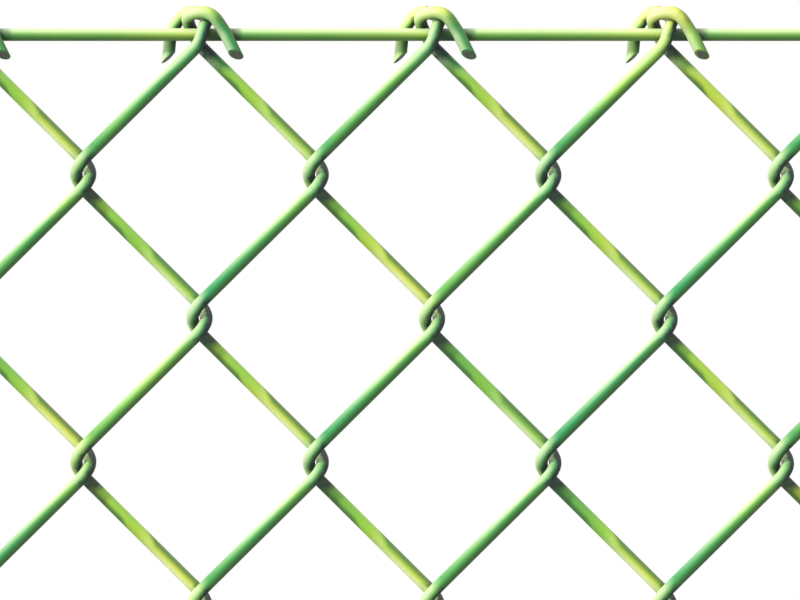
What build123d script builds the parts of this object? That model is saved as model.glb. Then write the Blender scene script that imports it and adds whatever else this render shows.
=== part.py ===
"""Section of chain link fence, 0.8 m high: round coated wires, each bent into a flat zigzag spring and
turned into its neighbour, knuckled over a straight line wire along the top and along the bottom.

The frame's origin is the middle of the cut face at the left end of the top line wire. +X runs along the
line wire, +Z points up, and the front of the fence, where the rising legs lie, faces -Y.
"""
import math
import os

from build123d import *

# Wires, in millimetres over the plastic sleeve, and the room between wires that pass each other
wire_diameter = 3.5
line_wire_diameter = 3.5
wire_gap = 0.3

# Size of the mesh and of the section, with an even number of wires and of rows
column_pitch = 32.15
row_pitch = 39.8
wire_count = 20
row_count = 20
line_wire_overhang = 32.0

# Shape of the knots: how steeply a wire crosses from one layer to the other, and how much of that
# crossing each of its two bends takes up
crossing_slope = 0.55
bend_share = 0.45

# Shape of the knuckles: the line wire lies this far inside the outermost row, and each bend takes up
# this share of the shorter run beside it
line_wire_inset = 1.1
knuckle_share = 0.48
largest_bend = 9.0

# Corners of the two wires of a top knuckle, in wire spacings from the line wire and the knuckle's
# column, from the cut tip of the tail back to the rise. The right-hand wire comes up behind the line
# wire, is bent over it to the front and arches over its neighbour's hook, and its tail leans outwards.
right_tail_tip = (2.68, -1.16, -1.48)
right_tail_shoulder = (1.80, -1.15, 0.29)
right_arch_crown = (0.85, -1.52, 1.66)
right_hook_crown = (-0.96, -0.60, 1.47)
right_hook_rise = (-0.71, 1.14, 0.52)

# The left-hand wire does the same from the front to the back, and its tail hangs straighter
left_tail_tip = (-2.30, 1.16, -1.63)
left_tail_shoulder = (-2.13, 1.34, 0.25)
left_arch_crown = (-1.07, 1.37, 1.88)
left_hook_crown = (0.72, 0.35, 1.33)
left_hook_rise = (0.36, -1.06, 0.58)

# The back and front layers lie this far from the middle, so that the line wire passes between them
layer_offset = (wire_diameter + line_wire_diameter) / 2 + wire_gap
# Linked wires pass each other this far either side of the knot's middle
link_offset = (wire_diameter + wire_gap) / 2
# Half the height that a wire loses while it crosses from one layer to the other
half_drop = crossing_slope * layer_offset
leg_slope = (row_pitch - 2 * half_drop) / (column_pitch + 2 * link_offset)
# One wire spacing of the knuckles, which grow with the thicker of the two wires
spacing = max(layer_offset, wire_diameter + wire_gap)
# The bottom line wire hangs this far below the top one
bottom_line_height = 2 * line_wire_inset - row_count * row_pitch

# The tails are sheared level before they are bent, where the wire still slopes as a leg does, so the
# cut face slants this much to the wire
shear_slant = math.pi / 2 - math.atan(leg_slope)


def bend_radius(before, corner, after, share):
    """Radius of the bend at a corner, so that it takes up a share of the shorter run beside it."""
    incoming = corner - before
    outgoing = after - corner
    half_turn = math.radians(incoming.get_angle(outgoing)) / 2
    shorter = min(incoming.length, outgoing.length)
    return min(share * shorter / math.tan(half_turn), largest_bend)


def knuckle_corners(bent_end, leg_layer):
    """Corners of a top knuckle from its cut tip to the leg that comes up to it in its layer."""
    corners = [Vector(*corner) * spacing for corner in bent_end]
    leg_end_height = line_wire_inset - half_drop - leg_slope * link_offset
    corners.append(Vector(0, leg_layer, leg_end_height))
    return corners


def knot_corners(row):
    """The two corners where a wire turns round its neighbour and changes layer, for one row."""
    height = line_wire_inset - row * row_pitch
    at_right = row % 2 == 1
    side = column_pitch + link_offset if at_right else -link_offset
    arriving_layer = layer_offset if at_right else -layer_offset
    return [
        Vector(side, arriving_layer, height + half_drop),
        Vector(side, -arriving_layer, height - half_drop),
    ]


def sheared_off(tip, shoulder, crown):
    """The block to cut from a tail that runs on past its tip. The outside of the last bend is left
    longest."""
    along = (tip - shoulder).normalized()
    before_bend = shoulder - crown
    outward = (before_bend - along * before_bend.dot(along)).normalized()
    cut_face = Plane(
        origin=tip, z_dir=along * math.cos(shear_slant) - outward * math.sin(shear_slant)
    )
    side = 2 * wire_diameter
    return cut_face * Pos(0, 0, side / 2) * Box(side, side, side)


def weave_wire():
    """One wire of the fabric, knuckled at its left column, which is at X = 0. It is the right-hand
    wire of its top knuckle, and its bottom knuckle is the left-hand wire's turned half round."""
    right_end = [
        right_tail_tip, right_tail_shoulder, right_arch_crown, right_hook_crown, right_hook_rise
    ]
    left_end = [left_tail_tip, left_tail_shoulder, left_arch_crown, left_hook_crown, left_hook_rise]
    top_knuckle = knuckle_corners(right_end, layer_offset)
    corners = list(top_knuckle)
    for row in range(1, row_count):
        corners += knot_corners(row)
    for corner in reversed(knuckle_corners(left_end, -layer_offset)):
        corners.append(Vector(-corner.X, corner.Y, bottom_line_height - corner.Z))

    radii = []
    last_bend = len(corners) - 2
    for number in range(1, last_bend + 1):
        in_knuckle = min(number, last_bend + 1 - number) < len(top_knuckle)
        share = knuckle_share if in_knuckle else bend_share
        radii.append(bend_radius(*corners[number - 1:number + 2], share))

    offcuts = [sheared_off(*corners[:3]), sheared_off(*corners[:-4:-1])]
    run_on = wire_diameter / 2 * math.tan(shear_slant) + wire_gap
    for tip, shoulder in ((0, 1), (-1, -2)):
        corners[tip] += (corners[tip] - corners[shoulder]).normalized() * run_on
    route = FilletPolyline(*corners, radius=radii)
    start = Plane(origin=route @ 0, z_dir=route % 0)
    return sweep(start * Circle(wire_diameter / 2), path=route) - offcuts


def line_wire(height):
    """A straight wire threaded through the knuckles, running on past both sides of the fabric."""
    length = wire_count * column_pitch + 2 * line_wire_overhang
    cut_face = Plane(origin=(0, 0, height), z_dir=(1, 0, 0)) * Circle(line_wire_diameter / 2)
    return extrude(cut_face, amount=length)


os.makedirs("parts", exist_ok=True)

# Wires are counted from the left. The odd ones have their knuckles at the right column, and are the
# same wire turned half round in the plane of the fence.
left_knuckled = weave_wire()
middle_axis = Axis((0, 0, bottom_line_height / 2), (0, 1, 0))
right_knuckled = left_knuckled.rotate(middle_axis, 180)
for number in range(1, wire_count + 1):
    left_column = line_wire_overhang + (number - 1) * column_pitch
    if number % 2 == 1:
        wire = Pos(left_column + column_pitch, 0, 0) * right_knuckled
    else:
        wire = Pos(left_column, 0, 0) * left_knuckled
    export_step(wire, f"parts/weave_wire_{number:02d}.step")

export_step(line_wire(0), "parts/top_line_wire.step")
export_step(line_wire(bottom_line_height), "parts/bottom_line_wire.step")
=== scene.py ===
"""Looks of a section of chain link fence: green plastic coated wires, cut ends, floor, light, camera.

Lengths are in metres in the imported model's frame: +X along the fence, +Z up, the front faces -Y, and
the origin is at the left end of the top line wire.
"""
import math
from types import SimpleNamespace

import bpy
from mathutils import Matrix, Vector


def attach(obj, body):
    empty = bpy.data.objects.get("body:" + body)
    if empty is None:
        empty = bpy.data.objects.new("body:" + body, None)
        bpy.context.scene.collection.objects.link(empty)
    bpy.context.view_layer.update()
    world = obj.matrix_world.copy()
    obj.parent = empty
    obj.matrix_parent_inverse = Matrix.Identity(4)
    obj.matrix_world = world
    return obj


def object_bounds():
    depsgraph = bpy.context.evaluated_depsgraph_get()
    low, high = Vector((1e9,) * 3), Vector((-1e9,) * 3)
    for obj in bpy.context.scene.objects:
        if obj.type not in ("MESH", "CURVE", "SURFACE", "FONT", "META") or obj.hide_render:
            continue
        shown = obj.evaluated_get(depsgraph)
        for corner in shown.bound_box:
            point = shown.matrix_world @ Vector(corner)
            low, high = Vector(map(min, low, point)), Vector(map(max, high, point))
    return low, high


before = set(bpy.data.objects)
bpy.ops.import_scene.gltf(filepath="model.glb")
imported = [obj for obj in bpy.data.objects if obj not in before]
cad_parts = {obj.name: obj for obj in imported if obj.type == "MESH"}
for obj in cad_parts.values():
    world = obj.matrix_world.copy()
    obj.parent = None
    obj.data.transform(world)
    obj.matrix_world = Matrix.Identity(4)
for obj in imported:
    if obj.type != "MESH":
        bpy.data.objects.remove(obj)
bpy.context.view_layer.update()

# Weave wires
#
# Galvanised steel wire of 2.5 mm in an extruded sleeve of soft PVC, 3.5 mm outside, bent cold round a
# flat blade into a zigzag. Every wire keeps its imported shape and gets the finish of a PVC sleeve, with
# a highlight painted on the side turned to the light and shade painted on the other, and painted shade
# and shadow in the knots.
MM = 0.001

# The knots stand in columns and rows, from the leftmost column and from the row of the top knuckles
COLUMN_PITCH = 32.15 * MM
FIRST_COLUMN = 32.0 * MM
ROW_PITCH = 39.8 * MM
FIRST_ROW = 1.1 * MM
ROWS = 20

# The legs lie in two layers, this far before and behind the middle, at this slope, and about this much
# of a leg shows on each side of its own middle
LAYER = 3.8 * MM
LEG_TURN = math.radians(44.7)
HALF_LEG = 20 * MM

# How coarse the marks on the sleeve are. Die lines really lie about 0.3 mm apart and orange peel is
# about 0.5 mm across, and both are drawn coarser so that they show. Die lines and streaks of pigment
# are drawn out along the wire.
DIE_LINES = 1.0 * MM
ORANGE_PEEL = 1.6 * MM
STREAKS = 3.0 * MM
SMUDGES = 2.5 * MM
DRAWN_OUT = (0.12, 1, 1)


def linear(hex_colour):
    """An sRGB colour such as "3f8a3c" as the linear colour that a shader takes."""
    channels = [int(hex_colour[place:place + 2], 16) / 255 for place in (0, 2, 4)]
    return [c / 12.92 if c <= 0.04045 else ((c + 0.055) / 1.055) ** 2.4 for c in channels] + [1.0]


def add(tree, kind, inputs, output=0, **settings):
    """Adds a node and returns one of its outputs. Inputs maps a socket's name or number to a value or
    to the output that feeds it."""
    node = tree.nodes.new(kind)
    for name, value in settings.items():
        setattr(node, name, value)
    for socket, value in inputs.items():
        if isinstance(value, bpy.types.NodeSocket):
            tree.links.new(value, node.inputs[socket])
        else:
            node.inputs[socket].default_value = value
    return node.outputs[output]


def new_material(name):
    """A material with its node tree and its shader."""
    material = bpy.data.materials.new(name)
    material.use_nodes = True
    return material, material.node_tree, material.node_tree.nodes["Principled BSDF"]


def pigment(tree, tint, stops):
    """Colours of the sleeve from deep to pale, as tint goes from 0 to 1."""
    ramp = add(tree, "ShaderNodeValToRGB", {"Fac": tint})
    elements = ramp.node.color_ramp.elements
    while len(elements) < len(stops):
        elements.new(0.5)
    for element, (position, colour) in zip(elements, stops):
        element.position = position
        element.color = linear(colour)
    return ramp


def painted_highlight_and_shade(tree, colour, lit_side, highlight_share, dark_side_share):
    """Paints a highlight into the colour where the side value is near 1, the side turned to the light,
    and paints shade where it is near -1."""
    painted_highlight = add(tree, "ShaderNodeMapRange", {
        "Value": lit_side, "From Min": 0.0, "From Max": 0.95,
    }, interpolation_type="SMOOTHSTEP")
    painted_highlight = add(tree, "ShaderNodeMath", {0: painted_highlight, 1: highlight_share}, operation="MULTIPLY")
    painted_dark_side = add(tree, "ShaderNodeMapRange", {
        "Value": lit_side, "From Min": 0.3, "From Max": -0.6,
    }, interpolation_type="SMOOTHSTEP")
    painted_dark_side = add(tree, "ShaderNodeMath", {0: painted_dark_side, 1: dark_side_share}, operation="MULTIPLY")
    # The pale yellow green is a painted highlight, and the dark green a painted shade
    colour = add(tree, "ShaderNodeMix", {0: painted_highlight, 6: colour, 7: linear("ecf6c8")}, 2, data_type="RGBA")
    return add(tree, "ShaderNodeMix", {0: painted_dark_side, 6: colour, 7: linear("3c6a32")}, 2, data_type="RGBA")


def finish_sleeve(tree, shader, colour, place, lines, painted_shade):
    """The skin of extruded soft PVC, satin to the eye: faint die lines along the wire, orange peel, and
    painted shade in dark slate, which also makes it rougher."""
    # Painted shade and shadow, mixed in as dark slate
    colour = add(tree, "ShaderNodeMix", {0: painted_shade, 6: colour, 7: linear("1e2a30")}, 2, data_type="RGBA")

    peel = add(tree, "ShaderNodeTexNoise", {"Vector": place, "Scale": 1 / ORANGE_PEEL, "Detail": 1.0})
    relief = add(tree, "ShaderNodeMath", {0: peel, 1: 0.5, 2: lines}, operation="MULTIPLY_ADD")
    bump = add(tree, "ShaderNodeBump", {"Strength": 0.35, "Distance": 0.1 * MM, "Height": relief})

    rough = add(tree, "ShaderNodeMapRange", {"Value": lines, "To Min": 0.3, "To Max": 0.45})
    rough = add(tree, "ShaderNodeMath", {0: painted_shade, 1: 0.3, 2: rough}, operation="MULTIPLY_ADD")
    tree.links.new(colour, shader.inputs["Base Color"])
    tree.links.new(rough, shader.inputs["Roughness"])
    tree.links.new(bump, shader.inputs["Normal"])
    shader.inputs["IOR"].default_value = 1.53


def on_weave(tree, place):
    """Where a point lies on the weave, as named outputs. The lattice of knots makes cells, and one leg
    crosses each: it rises to the right in front, or falls to the right behind."""
    at = SimpleNamespace()
    x, at.y, z = add(tree, "ShaderNodeSeparateXYZ", {0: place}).node.outputs
    at.columns = add(tree, "ShaderNodeMath", {
        0: x, 1: 1 / COLUMN_PITCH, 2: -FIRST_COLUMN / COLUMN_PITCH,
    }, operation="MULTIPLY_ADD")
    at.rows = add(tree, "ShaderNodeMath", {
        0: z, 1: -1 / ROW_PITCH, 2: FIRST_ROW / ROW_PITCH,
    }, operation="MULTIPLY_ADD")
    column = add(tree, "ShaderNodeMath", {0: at.columns}, operation="FLOOR")
    row = add(tree, "ShaderNodeMath", {0: at.rows}, operation="FLOOR")
    parity = add(tree, "ShaderNodeMath", {0: column, 1: row}, operation="ADD")
    # 1 where the cell's leg falls, and a number that sets its pattern apart from its neighbours'
    at.falling = add(tree, "ShaderNodeMath", {0: parity, 1: 1.0}, operation="PINGPONG")
    at.own_pattern = add(tree, "ShaderNodeMath", {
        0: column, 1: 0.37, 2: parity,
    }, operation="MULTIPLY_ADD")

    # The leg's own axes, from its middle: X runs along it to its right end, and Z across it, upwards
    across_cell = add(tree, "ShaderNodeMath", {0: at.columns}, operation="FRACT")
    at.down_cell = add(tree, "ShaderNodeMath", {0: at.rows}, operation="FRACT")
    in_cell = add(tree, "ShaderNodeCombineXYZ", {0: across_cell, 1: at.y, 2: at.down_cell})
    in_cell = add(tree, "ShaderNodeVectorMath", {
        0: in_cell,
        1: (COLUMN_PITCH, 1, -ROW_PITCH),
        2: (-COLUMN_PITCH / 2, 0, ROW_PITCH / 2),
    }, operation="MULTIPLY_ADD")
    turn = add(tree, "ShaderNodeMath", {
        0: at.falling, 1: -2 * LEG_TURN, 2: LEG_TURN,
    }, operation="MULTIPLY_ADD")
    at.leg = add(tree, "ShaderNodeVectorRotate", {
        "Vector": in_cell, "Angle": turn,
    }, rotation_type="Y_AXIS")
    leg_axes = add(tree, "ShaderNodeSeparateXYZ", {0: at.leg}).node.outputs
    at.leg_z = leg_axes["Z"]
    at.along = add(tree, "ShaderNodeMath", {0: leg_axes["X"], 1: 1 / HALF_LEG}, operation="MULTIPLY")

    # Distance from the nearest knot
    knot_x = add(tree, "ShaderNodeMath", {0: at.columns, 1: 0.5}, operation="PINGPONG")
    knot_z = add(tree, "ShaderNodeMath", {0: at.rows, 1: 0.5}, operation="PINGPONG")
    knot = add(tree, "ShaderNodeCombineXYZ", {0: knot_x, 2: knot_z})
    knot = add(tree, "ShaderNodeVectorMath", {
        0: knot, 1: (COLUMN_PITCH, 0, ROW_PITCH),
    }, operation="MULTIPLY")
    at.knot = add(tree, "ShaderNodeVectorMath", {0: knot}, "Value", operation="LENGTH")

    # 1 in the knuckles and 1 at their crowns, told by how many rows they lie from the middle of the
    # fence's height, 1 on a leg that is clear of knots and knuckles, and 1 in the back layer
    rows_off = add(tree, "ShaderNodeMath", {0: at.rows, 1: ROWS / 2}, operation="SUBTRACT")
    rows_off = add(tree, "ShaderNodeMath", {0: rows_off}, operation="ABSOLUTE")
    at.knuckle = add(tree, "ShaderNodeMapRange", {
        "Value": rows_off, "From Min": ROWS / 2 - 0.36, "From Max": ROWS / 2 - 0.2,
    }, interpolation_type="SMOOTHSTEP")
    at.crown = add(tree, "ShaderNodeMapRange", {
        "Value": rows_off, "From Min": ROWS / 2 - 0.02, "From Max": ROWS / 2 + 0.18,
    }, interpolation_type="SMOOTHSTEP")
    clear = add(tree, "ShaderNodeMapRange", {
        "Value": at.knot, "From Min": 4 * MM, "From Max": 9 * MM,
    }, interpolation_type="SMOOTHSTEP")
    at.on_leg = add(tree, "ShaderNodeMath", {
        0: clear, 1: at.knuckle,
    }, operation="SUBTRACT", use_clamp=True)
    at.behind = add(tree, "ShaderNodeMapRange", {
        "Value": at.y, "From Min": -LAYER, "From Max": LAYER,
    }, interpolation_type="SMOOTHSTEP")
    return at


def painted_light_side(tree, at, normal):
    """How far a wire's surface is turned to the side where a highlight is painted, from 1 to -1, where
    shade is painted, and how strong the painted highlight is there. In the knots that side is the left
    one.

    On a rising leg it is the top, and the painted highlight is weaker towards the lower end. On a
    falling leg that side turns half a turn along the leg, from the top at its upper end to the underside
    at its lower one, and the highlight is painted only in the lower half."""
    leg_front = add(tree, "ShaderNodeMath", {
        0: at.falling, 1: -2 * LAYER, 2: LAYER,
    }, operation="MULTIPLY_ADD")
    forward = add(tree, "ShaderNodeMath", {0: at.y, 1: leg_front}, operation="ADD")
    forward = add(tree, "ShaderNodeMath", {0: forward, 1: -1}, operation="MULTIPLY")
    angle = add(tree, "ShaderNodeMath", {0: at.leg_z, 1: forward}, operation="ARCTAN2")
    # Along a falling leg, the side with the painted highlight turns from the top to the underside
    painted_side_turn = add(tree, "ShaderNodeMapRange", {
        "Value": at.along, "From Min": -0.35, "From Max": 0.25, "To Min": -1.4, "To Max": 1.5,
    })
    turned = add(tree, "ShaderNodeMix", {0: at.falling, 2: -math.pi / 2, 3: painted_side_turn})
    leg_lit_side = add(tree, "ShaderNodeMath", {0: angle, 1: turned}, operation="ADD")
    leg_lit_side = add(tree, "ShaderNodeMath", {0: leg_lit_side}, operation="COSINE")
    knot_lit_side = add(tree, "ShaderNodeVectorMath", {
        0: normal, 1: (-0.9, -0.35, 0.15),
    }, "Value", operation="DOT_PRODUCT")
    lit_side = add(tree, "ShaderNodeMix", {0: at.on_leg, 2: knot_lit_side, 3: leg_lit_side})

    # How strong the painted highlight is along each leg, and in the knots
    rising_highlight = add(tree, "ShaderNodeMapRange", {
        "Value": at.along, "From Min": -0.9, "From Max": 0.6, "To Min": 0.05, "To Max": 0.65,
    })
    falling_highlight = add(tree, "ShaderNodeMapRange", {
        "Value": at.along, "From Min": -0.1, "From Max": 0.6, "To Max": 0.7,
    }, interpolation_type="SMOOTHSTEP")
    highlight_share = add(tree, "ShaderNodeMix", {0: at.falling, 2: rising_highlight, 3: falling_highlight})
    highlight_share = add(tree, "ShaderNodeMix", {0: at.on_leg, 2: 0.55, 3: highlight_share})
    return lit_side, highlight_share


def extruded_marks(tree, at):
    """Die lines and streaks of pigment. They run along each leg in a pattern of its own, and fade out
    in the knots."""
    grain = add(tree, "ShaderNodeVectorMath", {0: at.leg, 1: DRAWN_OUT}, operation="MULTIPLY")
    marks = []
    for spacing in (DIE_LINES, STREAKS):
        mark = add(tree, "ShaderNodeTexNoise", {
            "Vector": grain, "W": at.own_pattern, "Scale": 1 / spacing, "Detail": 1.0,
        }, noise_dimensions="4D")
        marks.append(add(tree, "ShaderNodeMix", {0: at.on_leg, 2: 0.5, 3: mark}))
    return marks


def weave_tint(tree, at, place, streaks):
    """Tint from emerald at 0 to pale yellow green at 1, in patches of about 40 mm. The back layer and
    the knuckles' crowns are tinted yellower as painted warm light, and the front layer and the knuckles'
    tails stay more emerald."""
    # Painted warm light: the back layer and the knuckles' crowns are tinted yellow
    painted_warm_light = add(tree, "ShaderNodeMix", {0: at.knuckle, 2: at.behind, 3: at.crown})
    painted_warm_light = add(tree, "ShaderNodeMix", {0: at.on_leg, 2: painted_warm_light, 3: at.falling})
    to_right_end = add(tree, "ShaderNodeMath", {0: at.along, 1: at.on_leg}, operation="MULTIPLY")
    patches = add(tree, "ShaderNodeTexNoise", {
        "Vector": place, "W": 1.3, "Scale": 1 / (40 * MM), "Detail": 1.0,
    }, noise_dimensions="4D")
    tint = add(tree, "ShaderNodeMath", {0: patches, 1: 1.5, 2: -0.63}, operation="MULTIPLY_ADD")
    # The crowns get a further share of the painted warm light
    for cause, share in ((streaks, 0.25), (painted_warm_light, 0.5), (to_right_end, 0.18), (at.crown, 0.3)):
        tint = add(tree, "ShaderNodeMath", {0: cause, 1: share, 2: tint}, operation="MULTIPLY_ADD")
    return tint


def painted_knot_shade(tree, at, place, lit_side, normal):
    """Painted shade and shadow, dark slate in blotches, in the knots and knuckles, on the sides turned
    away from the light. Most of it lies on the inner faces of the back layer, at the right of a knot and
    on the upper end of the falling leg, where the front layer shades them. The fence's back faces get
    less."""
    mottle = add(tree, "ShaderNodeTexNoise", {"Vector": place, "Scale": 1 / SMUDGES, "Detail": 2.0})

    # How far from the knot it reaches, farther on a falling leg's upper end and in the knuckles
    shaded_end = add(tree, "ShaderNodeMath", {0: at.down_cell, 1: 0.5}, operation="LESS_THAN")
    shaded_end = add(tree, "ShaderNodeMath", {0: shaded_end, 1: at.knuckle}, operation="MAXIMUM")
    shaded_end = add(tree, "ShaderNodeMath", {0: shaded_end, 1: at.behind}, operation="MULTIPLY")
    reach = add(tree, "ShaderNodeMath", {
        0: shaded_end, 1: -2.5 * MM, 2: at.knot,
    }, operation="MULTIPLY_ADD")
    near = add(tree, "ShaderNodeMapRange", {
        "Value": reach, "From Min": 4.5 * MM, "From Max": 8.0 * MM, "To Min": 0.95, "To Max": 0.0,
    }, interpolation_type="SMOOTHSTEP")

    # The back faces get less of the painted shade, and the other faces of the back layer are the inner
    # ones. What lies to the right is told from the nearest column of knots.
    facing_back = add(tree, "ShaderNodeSeparateXYZ", {0: normal}, "Y")
    turned_back = add(tree, "ShaderNodeMapRange", {
        "Value": facing_back, "From Min": 0.0, "From Max": 0.8,
    }, interpolation_type="SMOOTHSTEP")
    inner = add(tree, "ShaderNodeMath", {0: 1.0, 1: turned_back}, operation="SUBTRACT")
    inner = add(tree, "ShaderNodeMath", {0: inner, 1: at.behind}, operation="MULTIPLY")
    to_right = add(tree, "ShaderNodeMath", {0: at.columns, 1: 0.5}, operation="ADD")
    to_right = add(tree, "ShaderNodeMath", {0: to_right}, operation="FRACT")
    to_right = add(tree, "ShaderNodeMath", {
        0: to_right, 1: COLUMN_PITCH, 2: -COLUMN_PITCH / 2,
    }, operation="MULTIPLY_ADD")
    to_right = add(tree, "ShaderNodeMath", {0: to_right, 1: -2 * MM}, operation="MAXIMUM")
    to_right = add(tree, "ShaderNodeMath", {0: to_right, 1: inner}, operation="MULTIPLY")

    # How deep the painted shade is: away from the lit side, on inner faces and to the right of a knot
    shadowed = mottle
    for cause, share in ((lit_side, -0.9), (turned_back, -0.45), (inner, 0.6), (to_right, 0.25 / MM)):
        shadowed = add(tree, "ShaderNodeMath", {
            0: cause, 1: share, 2: shadowed,
        }, operation="MULTIPLY_ADD")
    shadowed = add(tree, "ShaderNodeMapRange", {
        "Value": shadowed, "From Min": 0.15, "From Max": 0.85,
    }, interpolation_type="SMOOTHSTEP")
    return add(tree, "ShaderNodeMath", {0: near, 1: shadowed}, operation="MULTIPLY")


def weave_sleeve():
    """Extruded PVC on the weave wires, which gives a satin skin from emerald to yellow green, with
    painted highlights, shade and shadows.
    """
    material, tree, shader = new_material("extruded_pvc_on_weave_wire")
    place = add(tree, "ShaderNodeTexCoord", {}, "Object")
    normal = add(tree, "ShaderNodeNewGeometry", {}, "Normal")
    at = on_weave(tree, place)
    lit_side, highlight_share = painted_light_side(tree, at, normal)
    lines, streaks = extruded_marks(tree, at)
    tint = weave_tint(tree, at, place, streaks)
    colour = pigment(tree, tint, [(0.0, "128a4c"), (0.3, "479842"), (0.6, "84b83c"), (1.0, "c4cc46")])
    # Painted highlight on the side turned to the light, and painted shade on the other
    colour = painted_highlight_and_shade(tree, colour, lit_side, highlight_share, 0.85)
    # Painted shade and shadow in the knots and knuckles
    painted_shade = painted_knot_shade(tree, at, place, lit_side, normal)
    finish_sleeve(tree, shader, colour, place, lines, painted_shade)
    return material


sleeve = weave_sleeve()
weave_wires = [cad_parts[name] for name in sorted(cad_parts) if name.startswith("weave_wire")]
for wire in weave_wires:
    wire.data.materials.clear()
    wire.data.materials.append(sleeve)

# Line wires
#
# The same coated wire, left straight and threaded through the knuckles. Their sleeve is the same PVC,
# with a highlight painted on top, shade painted beneath, and a shadow painted where a knuckle shades it.
LENGTH = 2 * FIRST_COLUMN + len(weave_wires) * COLUMN_PITCH
UNSHADED_END = 35 * MM


def line_sleeve(name, shadow_offset):
    """Extruded PVC on one line wire, with a painted shadow this far to the right of each knuckle's
    column.
    Its patches of tint are about 30 mm long."""
    material, tree, shader = new_material(name)
    place = add(tree, "ShaderNodeTexCoord", {}, "Object")
    grain = add(tree, "ShaderNodeVectorMath", {0: place, 1: DRAWN_OUT}, operation="MULTIPLY")
    patches = add(tree, "ShaderNodeTexNoise", {"Vector": place, "Scale": 1 / (30 * MM), "Detail": 1.0})
    streaks = add(tree, "ShaderNodeTexNoise", {"Vector": grain, "Scale": 1 / STREAKS, "Detail": 1.0})

    # From each knuckle to the next on its right, two columns on, it goes from emerald to yellow green
    x = add(tree, "ShaderNodeSeparateXYZ", {0: place}, "X")
    stretch = add(tree, "ShaderNodeMath", {
        0: x, 1: 0.5 / COLUMN_PITCH, 2: -0.5 * FIRST_COLUMN / COLUMN_PITCH - 0.5,
    }, operation="MULTIPLY_ADD")
    stretch = add(tree, "ShaderNodeMath", {0: stretch}, operation="FRACT")
    tint = add(tree, "ShaderNodeMath", {0: patches, 1: 0.4, 2: -0.15}, operation="MULTIPLY_ADD")
    tint = add(tree, "ShaderNodeMath", {0: streaks, 1: 0.3, 2: tint}, operation="MULTIPLY_ADD")
    tint = add(tree, "ShaderNodeMath", {0: stretch, 1: 0.5, 2: tint}, operation="MULTIPLY_ADD")
    colour = pigment(tree, tint, [(0.0, "2a8048"), (0.35, "5f9f48"), (0.65, "98b84c"), (1.0, "c6cf55")])
    # Painted highlight on top of the line wire, and painted shade beneath
    normal = add(tree, "ShaderNodeNewGeometry", {}, "Normal")
    upward = add(tree, "ShaderNodeSeparateXYZ", {0: normal}, "Z")
    lit_side = add(tree, "ShaderNodeMath", {0: upward, 1: 1.2, 2: 0.1}, operation="MULTIPLY_ADD")
    colour = painted_highlight_and_shade(tree, colour, lit_side, 0.5, 0.75)

    # Painted shadow beside each knuckle's front tail, where the tail shades the line wire, but not on
    # the free ends
    beside = add(tree, "ShaderNodeMath", {
        0: x, 1: FIRST_COLUMN + COLUMN_PITCH + shadow_offset,
    }, operation="SUBTRACT")
    beside = add(tree, "ShaderNodeMath", {0: beside, 1: COLUMN_PITCH}, operation="PINGPONG")
    mottle = add(tree, "ShaderNodeTexNoise", {"Vector": place, "Scale": 1 / SMUDGES, "Detail": 2.0})
    beside = add(tree, "ShaderNodeMath", {0: mottle, 1: 3 * MM, 2: beside}, operation="MULTIPLY_ADD")
    painted_shade = add(tree, "ShaderNodeMapRange", {
        "Value": beside, "From Min": 4.5 * MM, "From Max": 7.5 * MM, "To Min": 0.65, "To Max": 0.0,
    }, interpolation_type="SMOOTHSTEP")
    inside = add(tree, "ShaderNodeMath", {
        0: x, 1: LENGTH / 2, 2: LENGTH / 2 - UNSHADED_END,
    }, operation="COMPARE")
    painted_shade = add(tree, "ShaderNodeMath", {0: painted_shade, 1: inside}, operation="MULTIPLY")

    lines = add(tree, "ShaderNodeTexNoise", {"Vector": grain, "Scale": 1 / DIE_LINES, "Detail": 1.0})
    finish_sleeve(tree, shader, colour, place, lines, painted_shade)
    return material


for name, shadow_offset in (("top_line_wire", 7 * MM), ("bottom_line_wire", -7 * MM)):
    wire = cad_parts[name]
    wire.data.materials.clear()
    wire.data.materials.append(line_sleeve(f"extruded_pvc_on_{name}", shadow_offset))

# Cut ends
#
# Each tail was sheared level before it was bent, while it sloped as a leg does, so its steel core of
# 2.5 mm shows as a slanted grey oval. The blade left it a little proud of the soft sleeve, with fine
# shear marks, and the first rust has come. The line wires were sawn square.
CORE_RADIUS = 1.25 * MM
PROUD = 0.2 * MM
SHEAR_SLANT = math.pi / 2 - LEG_TURN
BOTTOM_LINE = 2 * FIRST_ROW - ROWS * ROW_PITCH

# The blade's marks really lie about 0.05 mm apart, and are drawn coarser so that they show
SHEAR_MARKS = 0.3 * MM
RUST_SPOTS = 0.8 * MM


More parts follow.
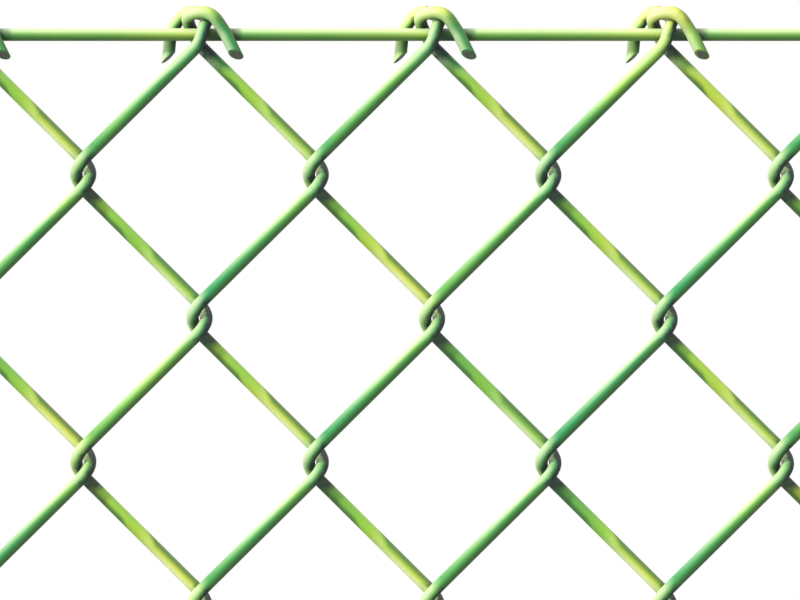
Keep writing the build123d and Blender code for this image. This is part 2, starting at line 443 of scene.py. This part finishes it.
def cut_steel():
    """Zinc coated steel wire, cut through: a dull grey face, scored by the blade and rusting."""
    material, tree, shader = new_material("cut_galvanised_steel_wire")
    face = add(tree, "ShaderNodeTexCoord", {}, "UV")
    place = add(tree, "ShaderNodeTexCoord", {}, "Object")
    marks = add(tree, "ShaderNodeVectorMath", {0: face, 1: (0.1, 1, 1)}, operation="MULTIPLY")
    marks = add(tree, "ShaderNodeTexNoise", {
        "Vector": marks, "Scale": 2 * CORE_RADIUS / SHEAR_MARKS, "Detail": 2.0,
    })
    rust = add(tree, "ShaderNodeTexNoise", {"Vector": place, "Scale": 1 / RUST_SPOTS, "Detail": 3.0})
    rust = add(tree, "ShaderNodeMapRange", {
        "Value": rust, "From Min": 0.5, "From Max": 0.7, "To Max": 0.7,
    }, interpolation_type="SMOOTHSTEP")
    colour = add(tree, "ShaderNodeMix", {
        0: marks, 6: linear("5d5f5c"), 7: linear("8f918c"),
    }, 2, data_type="RGBA")
    colour = add(tree, "ShaderNodeMix", {0: rust, 6: colour, 7: linear("5a3a26")}, 2, data_type="RGBA")
    metallic = add(tree, "ShaderNodeMapRange", {"Value": rust, "To Min": 1.0, "To Max": 0.2})
    rough = add(tree, "ShaderNodeMapRange", {"Value": marks, "To Min": 0.3, "To Max": 0.6})
    bump = add(tree, "ShaderNodeBump", {"Strength": 0.4, "Distance": 0.05 * MM, "Height": marks})
    tree.links.new(colour, shader.inputs["Base Color"])
    tree.links.new(metallic, shader.inputs["Metallic"])
    tree.links.new(rough, shader.inputs["Roughness"])
    tree.links.new(bump, shader.inputs["Normal"])
    return material


steel = cut_steel()


def steel_core(name, face):
    """A stub of core along +Z whose cut passes just proud of the origin and looks along face. The cut
    left a narrow step inside the rim, and a shallow dish in the middle."""
    bpy.ops.object.select_all(action="DESELECT")
    bpy.ops.mesh.primitive_cylinder_add(
        vertices=32, radius=CORE_RADIUS, depth=6 * MM, location=(0, 0, 1 * MM))
    core = bpy.context.object
    core.name = name
    bpy.ops.object.transform_apply(location=True)
    bpy.ops.object.mode_set(mode="EDIT")
    bpy.ops.mesh.select_all(action="SELECT")
    bpy.ops.mesh.bisect(plane_co=face * PROUD, plane_no=face, use_fill=True, clear_outer=True)
    bpy.ops.mesh.select_mode(type="FACE")
    bpy.ops.mesh.inset(thickness=0.15 * MM, depth=0.06 * MM)
    bpy.ops.mesh.inset(thickness=0.35 * MM, depth=-0.04 * MM)
    bpy.ops.mesh.select_all(action="SELECT")
    bpy.ops.uv.cube_project(cube_size=2 * CORE_RADIUS)
    bpy.ops.object.mode_set(mode="OBJECT")
    bevel = core.modifiers.new("worn_rim", "BEVEL")
    bevel.width = 0.05 * MM
    bevel.segments = 2
    bevel.angle_limit = math.radians(30)
    bpy.ops.object.modifier_apply(modifier="worn_rim")
    bpy.ops.object.shade_smooth_by_angle(angle=math.radians(35))
    core.data.materials.append(steel)
    return core


def cut_ends(name, core, places):
    """Copies a core to each place and joins the copies into one piece."""
    bpy.ops.object.select_all(action="DESELECT")
    for place in places:
        copy = core.copy()
        copy.data = core.data.copy()
        copy.data.transform(place)
        bpy.context.scene.collection.objects.link(copy)
        copy.select_set(True)
        bpy.context.view_layer.objects.active = copy
    bpy.ops.object.join()
    piece = bpy.context.object
    piece.name = name
    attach(piece, "root")


def tail(tip, shoulder, crown):
    """The place of a core in a tail of a top knuckle, with Z along the tail and X outside its last
    bend. The corners are in wire spacings, each as wide as a layer lies from the middle, and are
    measured from the line wire and the knuckle's column."""
    tip, shoulder, crown = [Vector(corner) * LAYER for corner in (tip, shoulder, crown)]
    along = (tip - shoulder).normalized()
    before_bend = shoulder - crown
    outward = (before_bend - along * before_bend.dot(along)).normalized()
    axes = Matrix((outward, along.cross(outward), along)).transposed()
    return Matrix.Translation(tip) @ axes.to_4x4()


slanted_core = steel_core(
    "slanted_core", Vector((-math.sin(SHEAR_SLANT), 0, math.cos(SHEAR_SLANT))))
right_tail = tail(
    tip=(2.68, -1.16, -1.48), shoulder=(1.80, -1.15, 0.29), crown=(0.85, -1.52, 1.66))
left_tail = tail(
    tip=(-2.30, 1.16, -1.63), shoulder=(-2.13, 1.34, 0.25), crown=(-1.07, 1.37, 1.88))
half_turn = Matrix.Rotation(math.pi, 4, "Y")
for number, wire in enumerate(weave_wires, start=1):
    odd = number % 2
    column = FIRST_COLUMN + (number - 1 + odd) * COLUMN_PITCH
    top = Matrix.Translation((column, 0, 0))
    bottom = Matrix.Translation((column, 0, BOTTOM_LINE)) @ half_turn
    if odd:
        cut_ends(f"{wire.name}_cut_ends", slanted_core, [top @ left_tail, bottom @ right_tail])
    else:
        cut_ends(f"{wire.name}_cut_ends", slanted_core, [top @ right_tail, bottom @ left_tail])

square_core = steel_core("square_core", Vector((0, 0, 1)))
quarter_turn = Matrix.Rotation(math.pi / 2, 4, "Y")
for name, height in (("top_line_wire", 0), ("bottom_line_wire", BOTTOM_LINE)):
    right = Matrix.Translation((LENGTH, 0, height)) @ quarter_turn
    left = Matrix.Translation((0, 0, height)) @ quarter_turn.inverted()
    cut_ends(f"{name}_cut_ends", square_core, [left, right])
bpy.data.objects.remove(slanted_core)
bpy.data.objects.remove(square_core)

# Floor
#
# A studio floor in a pale matt paint, just clear of the lowest wire. It fades into the white
# surroundings within a few metres, so that its rim never shows.
FLOOR_RADIUS = 30
FLOOR_GAP = 2 * MM
FADE_FROM = 0.7
FADE_TO = 3.0
low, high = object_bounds()
middle = (low + high) / 2
bpy.ops.object.select_all(action="DESELECT")
bpy.ops.mesh.primitive_circle_add(
    vertices=128, radius=FLOOR_RADIUS, fill_type="NGON", location=(0, 0, 0))
floor = bpy.context.object
floor.name = "floor"
floor.data.transform(Matrix.Translation((middle.x, 0, low.z - FLOOR_GAP)))
floor_paint, tree, shader = new_material("pale_floor_paint")
shader.inputs["Base Color"].default_value = linear("f2f2f0")
shader.inputs["Roughness"].default_value = 0.8
place = add(tree, "ShaderNodeTexCoord", {}, "Object")
centred = add(tree, "ShaderNodeMapping", {"Vector": place, "Location": (-middle.x, 0, 0)})
flat = add(tree, "ShaderNodeVectorMath", {0: centred, 1: (1, 1, 0)}, operation="MULTIPLY")
radius = add(tree, "ShaderNodeVectorMath", {0: flat}, "Value", operation="LENGTH")
far = add(tree, "ShaderNodeMapRange", {
    "Value": radius, "From Min": FADE_FROM, "From Max": FADE_TO,
}, interpolation_type="SMOOTHSTEP")
white = add(tree, "ShaderNodeEmission", {"Color": (1, 1, 1, 1), "Strength": 1.0})
surface = add(tree, "ShaderNodeMixShader", {0: far, 1: shader.outputs[0], 2: white})
tree.links.new(surface, tree.nodes["Material Output"].inputs["Surface"])
floor.data.materials.append(floor_paint)
floor.visible_diffuse = False
floor.visible_glossy = False

# Light
#
# A white cyclorama round the fence, which lights it softly and most of all from above on the left, and
# one lamp from the upper left in front that draws the contact shadows.
world = bpy.data.worlds.new("white_studio")
bpy.context.scene.world = world
world.use_nodes = True
tree = world.node_tree
backdrop = tree.nodes["Background"]
backdrop.inputs["Color"].default_value = (1, 1, 1, 1)
direction = add(tree, "ShaderNodeTexCoord", {}, "Generated")
brighter = add(tree, "ShaderNodeVectorMath", {
    0: direction, 1: (-0.45, 0.1, 0.89),
}, "Value", operation="DOT_PRODUCT")
glow = add(tree, "ShaderNodeMapRange", {
    "Value": brighter, "From Min": -0.6, "From Max": 0.9, "To Min": 0.5, "To Max": 1.4,
}, interpolation_type="SMOOTHSTEP")
around = add(tree, "ShaderNodeBackground", {"Color": (1, 1, 0.97, 1), "Strength": glow})
seen = add(tree, "ShaderNodeLightPath", {}, "Is Camera Ray")
mixed = add(tree, "ShaderNodeMixShader", {0: seen, 1: around, 2: backdrop.outputs[0]})
tree.links.new(mixed, tree.nodes["World Output"].inputs["Surface"])

key_data = bpy.data.lights.new("key", "SUN")
key_data.energy = 2.4
key_data.angle = math.radians(8)
key_data.color = (1.0, 1.0, 0.92)
key = bpy.data.objects.new("key", key_data)
bpy.context.scene.collection.objects.link(key)
key.location = middle + Vector((-0.65, -0.8, 0.7))
key.rotation_euler = (middle - key.location).to_track_quat("-Z", "Y").to_euler()
key.visible_glossy = False

# Camera
#
# It stands square in front of the fence, 2 m off. A pixel of the picture covers 0.2765 mm of the fence,
# which sets the lens, and the knuckle in the tenth column has its place in the picture, which sets where
# the camera stands.
PIXEL = 0.2765 * MM
IMAGE_WIDTH = 800
IMAGE_HEIGHT = 600
DISTANCE = 2.0
camera_data = bpy.data.cameras.new("camera")
camera = bpy.data.objects.new("camera", camera_data)
bpy.context.scene.collection.objects.link(camera)
bpy.context.scene.camera = camera
camera_data.sensor_width = 36
camera_data.lens = camera_data.sensor_width * DISTANCE / (IMAGE_WIDTH * PIXEL)
knuckle_column = FIRST_COLUMN + 9 * COLUMN_PITCH
knuckle_px = (432, 34.7)
camera.location = (
    knuckle_column + (IMAGE_WIDTH / 2 - knuckle_px[0]) * PIXEL,
    -DISTANCE,
    (knuckle_px[1] - IMAGE_HEIGHT / 2) * PIXEL,
)
camera.rotation_euler = (math.radians(90), 0, 0)
camera_data.clip_start = 0.1
camera_data.clip_end = 100
bpy.context.scene.view_settings.view_transform = "Standard"
